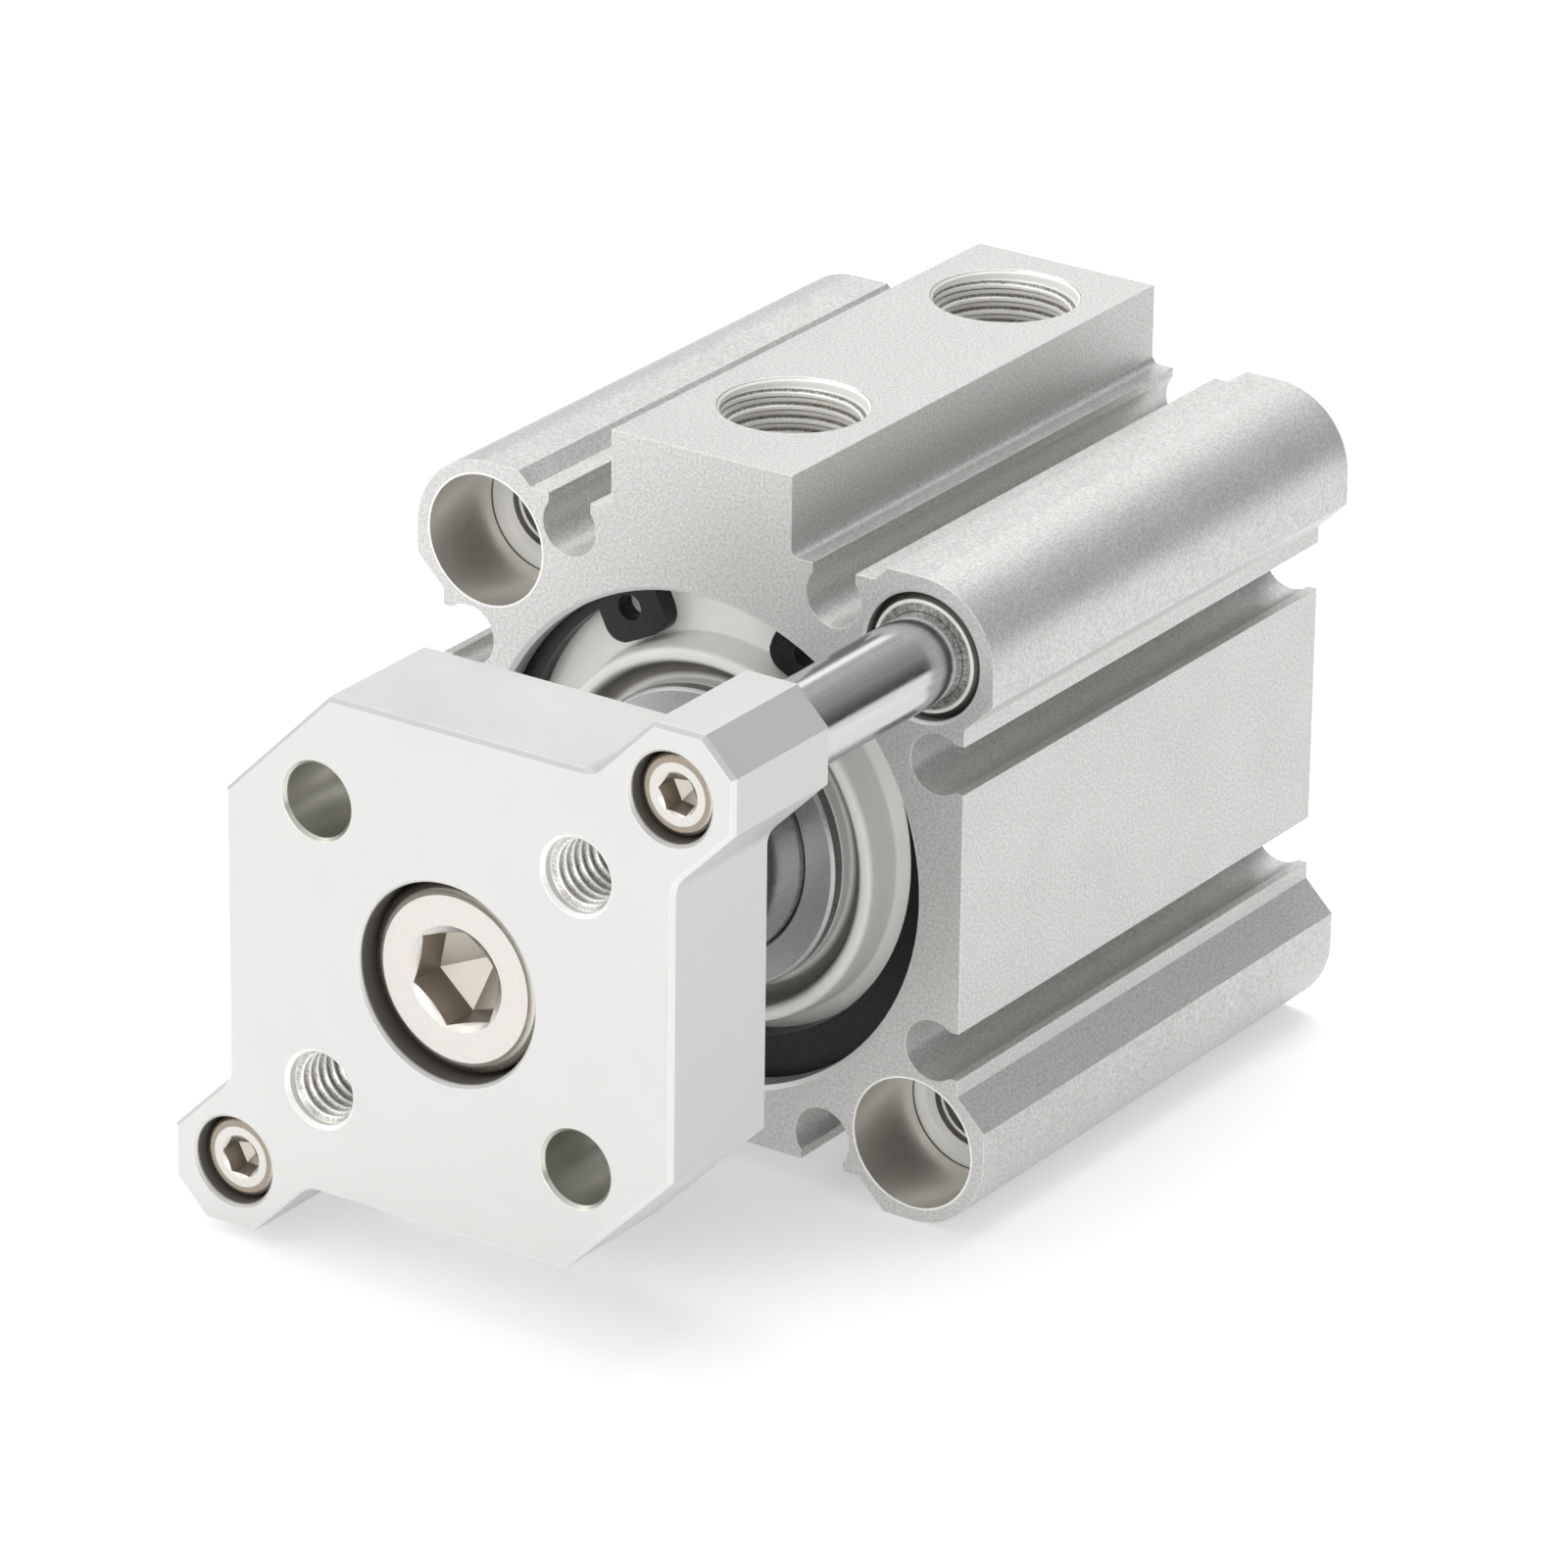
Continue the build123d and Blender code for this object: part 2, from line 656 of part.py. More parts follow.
# End plate: outline with its lobes, then the holes and the screws' recesses
rod_bolt_face = plate_front + rod_bolt_sunk
rod_bolt_under = rod_bolt_face + rod_bolt_head_height
guide_screw_face = plate_front + guide_screw_sunk
guide_screw_under = guide_screw_face + guide_screw_head_height
with BuildPart() as end_plate:
    with BuildSketch(across(plate_rear)) as plate_outline:
        Rectangle(2 * lobe_half, 2 * lobe_half)
        chamfer(plate_outline.vertices().filter_by(lambda v: v.X * v.Y > 0), lobe_tip)
        Rectangle(4 * lobe_half, lobe_width, rotation=45, mode=Mode.INTERSECT)
        Polygon(
            (-plate_half, -plate_half),
            (plate_half - plate_cut, -plate_half),
            (plate_half, plate_cut - plate_half),
            (plate_half, plate_half),
            (plate_cut - plate_half, plate_half),
            (-plate_half, plate_half - plate_cut),
            align=None,
        )
        roots = plate_outline.vertices().filter_by(lambda v: v.X * v.Y > 0)
        roots = roots.filter_by(
            lambda v: min(abs(abs(v.X) - plate_half), abs(abs(v.Y) - plate_half)) < same
        )
        fillet(roots, lobe_root)
    extrude(amount=plate_thickness)
    ends = end_plate.faces().sort_by(Axis.Y)
    chamfer(ends[0].outer_wire().edges() + ends[-1].outer_wire().edges(), edge_break)

    with BuildSketch(across(plate_rear)):
        with GridLocations(plate_hole_pitch, plate_hole_pitch, 2, 2):
            Circle(plate_hole_r)
        Circle(rod_bolt_r + shank_gap)
        with Locations(*guide_corners.values()):
            Circle(guide_screw_r + shank_gap)
    extrude(amount=plate_thickness, mode=Mode.SUBTRACT)
    with BuildSketch(across(rod_bolt_under)):
        Circle(rod_bolt_head_r + head_gap)
    extrude(amount=rod_bolt_under - plate_front, mode=Mode.SUBTRACT)
    with BuildSketch(across(guide_screw_under)):
        with Locations(*guide_corners.values()):
            Circle(guide_screw_head_r + head_gap)
    extrude(amount=guide_screw_under - plate_front, mode=Mode.SUBTRACT)
    with BuildSketch(across(plate_rear)):
        with Locations(*guide_corners.values()):
            Circle(guide_r + seat_gap)
    extrude(amount=guide_in_plate, mode=Mode.SUBTRACT)
    ends = end_plate.faces().sort_by(Axis.Y)
    mouths = ends[0].edges().filter_by(lambda e: e.is_closed)
    chamfer(mouths, plate_hole_chamfer)
finish(end_plate, "end_plate")


def make_screw(name, place, size, face, tip, turn):
    """Socket head screw at place, its head's face at face and the end of its shank at tip."""
    x, z = place
    shank_r, head_r, head_height, socket, socket_depth = size
    mouth_r = socket_lead * socket / 3**0.5
    cone = (mouth_r - socket / 2) / tan(radians(socket_cone))
    floor_rise = (1 - floor_flat) * socket / 2 / tan(radians(socket_cone))
    with BuildPart() as screw:
        with BuildSketch(through_axis(x, z)) as screw_half:
            with BuildLine():
                Polyline(
                    (0, face),
                    (head_r, face),
                    (head_r, face + head_height),
                    (shank_r, face + head_height),
                    (shank_r, tip),
                    (0, tip),
                    close=True,
                )
            make_face()
            fillet(screw_half.vertices().group_by(Axis.Y)[0].sort_by(Axis.X)[-1], head_round * head_r)
            chamfer(screw_half.vertices().group_by(Axis.Y)[-1].sort_by(Axis.X)[-1], edge_break)
        revolve(axis=lengthwise(x, z))
        with BuildSketch(across(face)):
            with Locations(place):
                RegularPolygon(socket / 2, 6, major_radius=False, rotation=turn)
        extrude(amount=-socket_depth, mode=Mode.SUBTRACT)
        with BuildSketch(across(face + socket_depth)):
            with Locations(place):
                RegularPolygon(socket / 2, 6, major_radius=False, rotation=turn)
        extrude(amount=-floor_rise, taper=socket_cone, mode=Mode.SUBTRACT)
        with BuildSketch(across(face)):
            with Locations(place):
                Circle(mouth_r)
        extrude(amount=-cone, taper=socket_cone, mode=Mode.SUBTRACT)
    finish(screw, name)


# Low head screw that holds the plate to the rod
rod_bolt_size = (
    rod_bolt_r,
    rod_bolt_head_r,
    rod_bolt_head_height,
    rod_bolt_hex,
    rod_bolt_hex_depth,
)
rod_bolt_tip = plate_rear + rod_bolt_grip
make_screw("rod_bolt", (0, 0), rod_bolt_size, rod_bolt_face, rod_bolt_tip, rod_bolt_turn)

# Screws that hold the guide rods to the plate
guide_screw_size = (
    guide_screw_r,
    guide_screw_head_r,
    guide_screw_head_height,
    guide_screw_hex,
    guide_screw_hex_depth,
)
for side, place in guide_corners.items():
    turn = guide_screw_turns[side]
    make_screw(f"guide_screw_{side}", place, guide_screw_size, guide_screw_face, guide_screw_tip, turn)
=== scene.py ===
import json
import math

import bmesh
import bpy
from mathutils import Matrix, Vector


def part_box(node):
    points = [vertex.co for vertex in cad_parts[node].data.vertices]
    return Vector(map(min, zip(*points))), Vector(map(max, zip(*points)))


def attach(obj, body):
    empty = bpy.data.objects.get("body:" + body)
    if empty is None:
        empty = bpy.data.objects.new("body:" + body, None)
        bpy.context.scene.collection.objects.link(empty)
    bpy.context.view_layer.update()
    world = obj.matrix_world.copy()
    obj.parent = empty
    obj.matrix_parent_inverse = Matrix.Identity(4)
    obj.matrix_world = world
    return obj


# Looks of a guided compact air cylinder with its rod out, in metres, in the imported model's frame.
# +X is right seen from the rod side, +Y runs from the rod side to the rear, +Z points to the ports.

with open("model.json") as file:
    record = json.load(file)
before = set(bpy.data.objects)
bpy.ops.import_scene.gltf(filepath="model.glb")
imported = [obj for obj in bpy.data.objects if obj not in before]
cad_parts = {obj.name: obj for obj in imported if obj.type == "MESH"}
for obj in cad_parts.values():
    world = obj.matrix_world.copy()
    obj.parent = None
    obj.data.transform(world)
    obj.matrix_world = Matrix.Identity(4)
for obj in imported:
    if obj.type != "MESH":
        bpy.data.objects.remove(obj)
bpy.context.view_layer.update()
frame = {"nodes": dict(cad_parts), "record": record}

MM = 0.001
BODY = "cylinder_body"
ROD = "rod_assembly"


# Sizes worked out from the frame
def middle(node):
    """Centre of a node's box."""
    low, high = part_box(node)
    return (low + high) / 2


def mount(name):
    """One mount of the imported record."""
    return next(m for m in frame["record"]["mounts"] if m["name"] == name)


tube_low, tube_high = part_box("cylinder_tube")
plate_low, plate_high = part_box("end_plate")
floor_height = tube_low.z
tube_at = middle("guide_rod_right").x
bolt_places = [(-tube_at, tube_at), (tube_at, -tube_at)]
guide_places = [(tube_at, tube_at), (-tube_at, -tube_at)]
bolt_head_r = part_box("rod_bolt")[1].x
guide_head_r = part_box("guide_screw_right")[1].x - tube_at
bolt_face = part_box("rod_bolt")[0].y
guide_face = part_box("guide_screw_right")[0].y
bush_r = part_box("guide_bush_right_front")[1].x - tube_at
bolt_recess_r = mount("bolt_head_recesses")["dims"]["hole_r_mm"] * MM
bolt_hole_r = mount("body_bolts")["dims"]["hole_r_mm"] * MM
bolt_hole_start = mount("body_bolts")["pos_m"][1]
port_rows = [mount(name)["pos_m"][1] for name in ("port_rod_side", "port_head_side")]
port_r = mount("port_rod_side")["dims"]["r_mm"] * MM
tapped_hole_r = mount("plate_holes")["dims"]["hole_r_mm"] * MM
hole_reach = mount("plate_holes")["dims"]["spacing_x_mm"] / 2 * MM
tapped_holes = [(hole_reach, hole_reach), (-hole_reach, -hole_reach)]
plain_holes = [(-hole_reach, hole_reach), (hole_reach, -hole_reach)]

# Where the finishes, the painted light and the painted shade change on the body, the collar and the
# guide bushes
wall_margin = 0.1 * MM
lip_reach = 0.36 * MM
bolt_chamfer = 0.8 * MM
step_at = bolt_hole_start - bolt_chamfer
seam_width = 0.22 * MM
port_wall_low = 15 * MM
hub_r = 10.4 * MM
dish_r = 11.78 * MM
dish_blur = 0.5 * MM
bush_line_low = bush_r - 0.78 * MM
bush_line_high = bush_r - 0.55 * MM

# Where they change on the plate and its screws
plain_hole_r = 2.75 * MM
plate_mouth_r = 2.75 * MM
tapped_finish_r = plate_mouth_r - 0.02 * MM
head_clearance = 0.27 * MM
socket_share = 0.56
bolt_face_share = 0.86
guide_face_share = 0.75
bolt_socket_lip = 0.3 * MM
guide_socket_lip = 0.2 * MM

# Threads
port_thread = {"pitch": 0.907 * MM, "height": 0.44 * MM, "finish": "port_thread"}
port_thread_start = 0.3 * MM
plate_thread = {"pitch": 0.8 * MM, "height": 0.42 * MM, "finish": "plate_thread"}
plate_thread_start = 0.26 * MM
bolt_thread = {"pitch": 1.0 * MM, "height": 0.3 * MM, "finish": "bolt_thread"}
bolt_thread_start = 0.02 * MM
bolt_thread_length = 9.0 * MM


# Camera, at the photograph's viewing angle
def place_camera():
    """Long lens from the front right, looking down on the object, a little rolled."""
    azimuth = math.radians(34.062)
    elevation = math.radians(23.342)
    roll = math.radians(0.688)
    distance = 611.122 * MM
    aim_right = 5.5695 * MM
    aim_up = 3.6784 * MM
    back = Vector((
        math.sin(azimuth) * math.cos(elevation),
        -math.cos(azimuth) * math.cos(elevation),
        math.sin(elevation),
    ))
    level_right = Vector((math.cos(azimuth), math.sin(azimuth), 0))
    level_up = back.cross(level_right)
    right = math.cos(roll) * level_right + math.sin(roll) * level_up
    up = math.cos(roll) * level_up - math.sin(roll) * level_right
    data = bpy.data.cameras.new("camera")
    data.sensor_width = 36
    data.lens = 216.31
    data.clip_end = 10
    camera = bpy.data.objects.new("camera", data)
    bpy.context.scene.collection.objects.link(camera)
    camera.rotation_mode = "QUATERNION"
    turn = [list(row) for row in zip(right, up, back)]
    camera.rotation_quaternion = Matrix(turn).to_quaternion()
    camera.location = aim_right * right + aim_up * up + distance * back
    bpy.context.scene.camera = camera


place_camera()


# Node helpers
def start_material(name):
    """Empty node material and its tree."""
    material = bpy.data.materials.new(name)
    material.use_nodes = True
    return material, material.node_tree


def add(tree, kind, inputs=None, **settings):
    """Add a node. inputs maps a socket's name or number to a value or to another node's output."""
    node = tree.nodes.new("ShaderNode" + kind)
    for key, value in settings.items():
        setattr(node, key, value)
    for key, value in (inputs or {}).items():
        if isinstance(value, bpy.types.NodeSocket):
            tree.links.new(value, node.inputs[key])
        else:
            node.inputs[key].default_value = value
    return node


def remap(tree, value, low, high, to_low, to_high):
    """Value between low and high, stretched to lie between to_low and to_high."""
    return add(tree, "MapRange", {0: value, 1: low, 2: high, 3: to_low, 4: to_high}).outputs[0]


def maths(tree, operation, first, second=0.0):
    """One sum, product or the like of two numbers."""
    return add(tree, "Math", {0: first, 1: second}, operation=operation).outputs[0]


def vector_maths(tree, operation, first, second):
    """One sum, product or the like of two vectors, as a node."""
    return add(tree, "VectorMath", {0: first, 1: second}, operation=operation)


def blend(tree, factor, first, second):
    """Number between first and second."""
    return add(tree, "Mix", {0: factor, 2: first, 3: second}).outputs[0]


def mix(tree, factor, first, second):
    """Colour between first and second."""
    return add(tree, "Mix", {0: factor, 6: first, 7: second}, data_type="RGBA").outputs[2]


def tone(red, green, blue):
    """Linear colour of a screen tone given from 0 to 255."""
    linear = [((c / 255 + 0.055) / 1.055) ** 2.4 for c in (red, green, blue)]
    return (*linear, 1)


# Studio: pale floor, pale surroundings and softboxes, each with its place, width, height and power
softboxes = {
    "overhead_softbox": ((-0.15, 0.35, 1.1), 0.9, 0.9, 7.4),
    "left_softbox": ((-1.0, -0.7, 0.5), 0.7, 0.9, 2.2),
    "front_softbox": ((-0.3, -1.1, 0.3), 0.8, 0.5, 1.9),
    "strip_softbox": ((-0.48, 0.9, 0.5), 0.16, 0.9, 0.4),
    "fill_softbox": ((0.36, -1.1, 0.25), 0.4, 0.4, 2.3),
}


def lay_floor():
    """Plain pale floor, wide enough to fill the view."""
    half = 3.0
    mesh = bpy.data.meshes.new("floor")
    form = bmesh.new()
    bmesh.ops.create_grid(form, x_segments=1, y_segments=1, size=half)
    form.to_mesh(mesh)
    form.free()
    floor = bpy.data.objects.new("floor", mesh)
    floor.location.z = floor_height
    bpy.context.scene.collection.objects.link(floor)
    material, tree = start_material("pale_floor")
    shader = tree.nodes["Principled BSDF"]
    shader.inputs["Base Color"].default_value = (0.9, 0.9, 0.9, 1)
    shader.inputs["Roughness"].default_value = 0.9
    shader.inputs["Emission Color"].default_value = (1, 1, 1, 1)
    shader.inputs["Emission Strength"].default_value = 0.3
    mesh.materials.append(material)


def raise_walls():
    """Pale surroundings, brightest overhead at the left and dim near and below the floor."""
    world = bpy.data.worlds.new("pale_walls")
    world.use_nodes = True
    tree = world.node_tree
    bright_side = (-0.71, -0.22, 0.67)
    dimmest = 0.05
    brightest = 0.9
    full_height = 0.4
    dusk_share = 0.25
    direction = add(tree, "TexCoord").outputs["Generated"]
    toward = vector_maths(tree, "DOT_PRODUCT", direction, bright_side).outputs["Value"]
    glow = remap(tree, toward, -1, 1, dimmest, brightest)
    height = add(tree, "SeparateXYZ", {0: direction}).outputs["Z"]
    dusk = remap(tree, height, 0, full_height, dusk_share, 1)
    background = tree.nodes["Background"]
    background.inputs["Color"].default_value = (1, 1, 1, 1)
    tree.links.new(maths(tree, "MULTIPLY", glow, dusk), background.inputs["Strength"])
    bpy.context.scene.world = world


def hang_softbox(name, place, width, height, power):
    """Area light that faces the object."""
    data = bpy.data.lights.new(name, "AREA")
    data.shape = "RECTANGLE"
    data.size = width
    data.size_y = height
    data.energy = power
    light = bpy.data.objects.new(name, data)
    light.location = place
    light.rotation_euler = (-Vector(place)).to_track_quat("-Z", "Y").to_euler()
    bpy.context.scene.collection.objects.link(light)


lay_floor()
raise_walls()
for softbox_name, softbox in softboxes.items():
    hang_softbox(softbox_name, *softbox)
bpy.context.scene.view_settings.view_transform = "Standard"


# Patterns, with the range that most of a noise pattern lies in
USUAL_LOW = 0.3
USUAL_HIGH = 0.7


def noise(tree, size, detail=2.0, stretch=(1, 1, 1)):
    """Noise of about that feature size, longer along an axis whose stretch is above 1."""
    mapped = add(tree, "Mapping", {
        "Vector": add(tree, "TexCoord").outputs["Object"],
        "Scale": [1 / (size * s) for s in stretch],
    }).outputs[0]
    return add(tree, "TexNoise", {"Vector": mapped, "Scale": 1.0, "Detail": detail}).outputs[0]


def vary(tree, pattern, low, high):
    """Number from low to high, as a noise pattern goes through its usual range."""
    return remap(tree, pattern, USUAL_LOW, USUAL_HIGH, low, high)


def contrast(tree, pattern, low=0.35, high=0.65):
    """Noise pattern with more contrast, from 0 to 1."""
    return remap(tree, pattern, low, high, 0, 1)


def turned_rings(tree, radius, spacing):
    """Fine rings left by a turning tool, from 0 to 1."""
    wave = maths(tree, "SINE", maths(tree, "MULTIPLY", radius, 2 * math.pi / spacing))
    return remap(tree, wave, -1, 1, 0, 1)


# Places on the object
def coordinate(tree, axis):
    """Coordinate along X, Y or Z (0, 1 or 2)."""
    return add(tree, "SeparateXYZ", {0: add(tree, "TexCoord").outputs["Object"]}).outputs[axis]


def facing(tree, axis):
    """How far the surface faces along X, Y or Z (0, 1 or 2), from -1 to 1."""
    return add(tree, "SeparateXYZ", {0: add(tree, "NewGeometry").outputs["Normal"]}).outputs[axis]


def axis_distance(tree, point, across):
    """Distance from an axis through point. across is 1 for the directions square to the axis."""
    spot = add(tree, "TexCoord").outputs["Object"]
    shifted = vector_maths(tree, "SUBTRACT", spot, point).outputs[0]
    flat = vector_maths(tree, "MULTIPLY", shifted, across).outputs[0]
    return add(tree, "VectorMath", {0: flat}, operation="LENGTH").outputs["Value"]


def radius_from(tree, x, z):
    """Distance from the lengthwise axis at x, z."""
    return axis_distance(tree, (x, 0, z), (1, 0, 1))


# Masks, 1 at the places named and 0 elsewhere
def both(tree, first, second):
    """Where both masks are 1."""
    return maths(tree, "MULTIPLY", first, second)


def either(tree, first, second):
    """Where one mask or the other is 1."""
    return maths(tree, "MAXIMUM", first, second)


def without(tree, first, second):
    """First mask less the second, which lies within it."""
    return maths(tree, "SUBTRACT", first, second)


def inside(tree, value, limit, blur=0.05 * MM):
    """Where value is under limit."""
    return remap(tree, value, limit, limit + blur, 1, 0)


def beyond(tree, value, limit, blur=0.1 * MM):
    """Where value is over limit."""
    return remap(tree, value, limit - blur, limit, 0, 1)


def between(tree, value, low, high, blur=0.05 * MM):
    """Where value lies between low and high."""
    return without(tree, inside(tree, value, high, blur), inside(tree, value, low, blur))


def near_axes(tree, places, radius):
    """Within radius of any of the lengthwise axes at places."""
    found = 0.0
    for x, z in places:
        found = either(tree, found, inside(tree, radius_from(tree, x, z), radius))
    return found


def end_faces(tree):
    """Faces square to the length of the object."""
    side = 0.4
    end = 0.6
    return remap(tree, maths(tree, "ABSOLUTE", facing(tree, 1)), side, end, 0, 1)


def cut_edges(tree):
    """Chamfers at 45 degrees to the length of the object."""
    close = 0.03
    too_far = 0.08
    slant = maths(tree, "ABSOLUTE", facing(tree, 1))
    off = maths(tree, "ABSOLUTE", maths(tree, "SUBTRACT", slant, math.sqrt(0.5)))
    return remap(tree, off, close, too_far, 1, 0)


# Finishes
def dress(tree, colour, roughness, height, depth, rounding, edge_colour, metallic=1.0):
    """Wire up the shader, with relief from height and rounded edges lightened to edge_colour,
    partly as real wear and partly as painted edge highlight.
    """
    soft = add(tree, "Bevel", {"Radius": rounding}, samples=6).outputs[0]
    flat = add(tree, "NewGeometry").outputs["Normal"]
    even = vector_maths(tree, "DOT_PRODUCT", soft, flat).outputs["Value"]
    # Rounded edges are lightened partly as wear and partly as painted highlight.
    edge_mark_starts = 0.995
    edge_mark_full = 0.9
    most_edge_mark = 0.8
    worn_and_lit_edge = remap(tree, even, edge_mark_starts, edge_mark_full, 0, most_edge_mark)
    relief = add(tree, "Bump", {"Height": height, "Distance": depth, "Normal": soft}).outputs[0]
    shader = tree.nodes["Principled BSDF"]
    if isinstance(metallic, bpy.types.NodeSocket):
        tree.links.new(metallic, shader.inputs["Metallic"])
    else:
        shader.inputs["Metallic"].default_value = metallic
    tree.links.new(mix(tree, worn_and_lit_edge, colour, edge_colour), shader.inputs["Base Color"])
    tree.links.new(roughness, shader.inputs["Roughness"])
    tree.links.new(relief, shader.inputs["Normal"])


def port_walls(tree):
    """Mask of the walls of the two ports."""
    found = 0.0
    for y in port_rows:
        reach = axis_distance(tree, (0, y, 0), (1, 1, 0))
        found = either(tree, found, inside(tree, reach, port_r + wall_margin))
    height = between(tree, coordinate(tree, 2), port_wall_low, tube_high.z - wall_margin)
    return both(tree, found, height)


def bolt_hole_painted_shade(tree, turned, steps_painted_light):
    """Mask of painted shade: a dark seam at the foot of each head recess and a dark lip round each
    bolt hole.
    """
    along = coordinate(tree, 1)
    front_at = tube_low.y + step_at
    rear_at = tube_high.y - step_at
    front_seam = between(tree, along, front_at - seam_width, front_at)
    rear_seam = between(tree, along, rear_at, rear_at + seam_width)
    seam = both(tree, turned, either(tree, front_seam, rear_seam))
    seam = both(tree, seam, without(tree, 1.0, steps_painted_light))
    wide = near_axes(tree, bolt_places, bolt_hole_r + lip_reach)
    narrow = near_axes(tree, bolt_places, bolt_hole_r + wall_margin)
    lip = both(tree, without(tree, wide, narrow), cut_edges(tree))
    return either(tree, seam, lip)


def anodised_body():
    """Bead-blasted and clear anodised aluminium, with chamfers lightened partly as cut metal and
    partly as painted highlight, port walls and counterbore floors painted near-white as painted
    light, and painted shade at the recess seams and bolt hole lips.
    """
    material, tree = start_material("anodised_body")
    grain = noise(tree, 0.2 * MM)
    cloud = noise(tree, 5 * MM)
    turned = near_axes(tree, bolt_places, bolt_recess_r + wall_margin)
    steps_painted_light = both(tree, turned, end_faces(tree))
    port_wall_painted_light = port_walls(tree)
    cut = either(tree, turned, port_wall_painted_light)
    painted_seam_shade = bolt_hole_painted_shade(tree, turned, steps_painted_light)
    colour = mix(tree, contrast(tree, grain, 0.36, 0.64), tone(194, 193, 191), tone(218, 217, 215))
    # Chamfers lightened partly as cut metal and partly as painted highlight.
    colour = mix(tree, cut_edges(tree), colour, tone(244, 243, 241))
    colour = mix(tree, cut, colour, tone(230, 228, 222))
    # Port walls and counterbore floors: near-white colour as painted light inside the holes.
    colour = mix(tree, port_wall_painted_light, colour, tone(254, 253, 250))
    colour = mix(tree, steps_painted_light, colour, tone(253, 252, 248))
    # Painted shade in the crease at the foot of each recess and on the lip of each bolt hole.
    colour = mix(tree, painted_seam_shade, colour, tone(88, 84, 78))
    roughness = blend(tree, cut, vary(tree, cloud, 0.42, 0.5), 0.3)
    metallic = remap(tree, without(tree, turned, steps_painted_light), 0, 1, 0.6, 0.95)
    metallic = blend(tree, either(tree, steps_painted_light, port_wall_painted_light), metallic, 0.1)
    dress(tree, colour, roughness, grain, 0.014 * MM, 0.1 * MM, tone(246, 245, 242), metallic)
    return material


def anodised_plate():
    """Finer, lighter anodised finish of the end plate, with painted shade in the recesses round the
    screw heads, painted highlight and painted shade on the chamfers by which way they face, and
    tapped holes lightened partly as bare metal and partly as painted light.
    """
    material, tree = start_material("anodised_plate")
    grain = noise(tree, 0.1 * MM)
    cloud = noise(tree, 6 * MM)
    # Chamfers: painted highlight on those facing sideways and painted shade on those facing up.
    faces_up_for_shade = remap(tree, facing(tree, 2), 0.2, 0.6, 0, 1)
    edge_light_and_shade = mix(tree, faces_up_for_shade, tone(226, 226, 224), tone(196, 196, 194))
    bolt_recess_shade = near_axes(tree, [(0, 0)], bolt_head_r + head_clearance)
    guide_recess_shade = near_axes(tree, guide_places, guide_head_r + head_clearance)
    drilled = near_axes(tree, plain_holes, plain_hole_r + wall_margin)
    tapped = near_axes(tree, tapped_holes, tapped_finish_r)
    colour = mix(tree, cloud, tone(205, 205, 203), tone(212, 212, 210))
    colour = mix(tree, cut_edges(tree), colour, edge_light_and_shade)
    # Painted shade in the recesses round the screw heads.
    colour = mix(tree, either(tree, bolt_recess_shade, guide_recess_shade), colour, tone(134, 128, 120))
    colour = mix(tree, drilled, colour, tone(208, 207, 199))
    # Tapped holes: near-white, partly bare cut metal and partly painted light inside the holes.
    colour = mix(tree, tapped, colour, tone(250, 250, 248))
    roughness = blend(tree, drilled, vary(tree, cloud, 0.42, 0.48), 0.32)
    metallic = remap(tree, drilled, 0, 1, 0.5, 0.88)
    dress(tree, colour, roughness, grain, 0.0015 * MM, 0.1 * MM, tone(244, 244, 242), metallic)
    return material


def cast_aluminium():
    """Collar: lightly blasted aluminium, with painted shade in its dished front."""
    material, tree = start_material("cast_aluminium")
    grain = noise(tree, 0.12 * MM)
    cloud = noise(tree, 3 * MM)
    shaded_dish = between(tree, radius_from(tree, 0, 0), hub_r, dish_r, dish_blur)
    colour = mix(tree, cloud, tone(240, 239, 234), tone(250, 249, 245))
    # Painted shade in the dished front between the hub and the rim.
    colour = mix(tree, shaded_dish, colour, tone(134, 131, 125))
    roughness = blend(tree, shaded_dish, vary(tree, cloud, 0.4, 0.5), 0.3)
    metallic = remap(tree, shaded_dish, 0, 1, 0.08, 0.9)
    dress(tree, colour, roughness, grain, 0.003 * MM, 0.4 * MM, tone(250, 249, 246), metallic)
    return material


def machined_aluminium():
    """Piston, hidden in the bore: bright turned aluminium."""
    material, tree = start_material("machined_aluminium")
    rings = turned_rings(tree, radius_from(tree, 0, 0), 0.25 * MM)
    grain = noise(tree, 0.3 * MM)
    colour = mix(tree, grain, tone(200, 200, 198), tone(226, 226, 224))
    roughness = vary(tree, grain, 0.22, 0.3)
    dress(tree, colour, roughness, rings, 0.004 * MM, 0.1 * MM, tone(240, 240, 238))
    return material


def chromed_steel():
    """Ground and chromed rods: near mirrors with faint lengthwise streaks."""
    material, tree = start_material("chromed_steel")
    streaks = noise(tree, 0.25 * MM, 3.0, (1, 60, 1))
    grain = noise(tree, 0.4 * MM)
    colour = mix(tree, streaks, tone(178, 178, 181), tone(206, 206, 209))
    roughness = vary(tree, grain, 0.14, 0.2)
    dress(tree, colour, roughness, streaks, 0.0015 * MM, 0.08 * MM, tone(238, 238, 240))
    return material


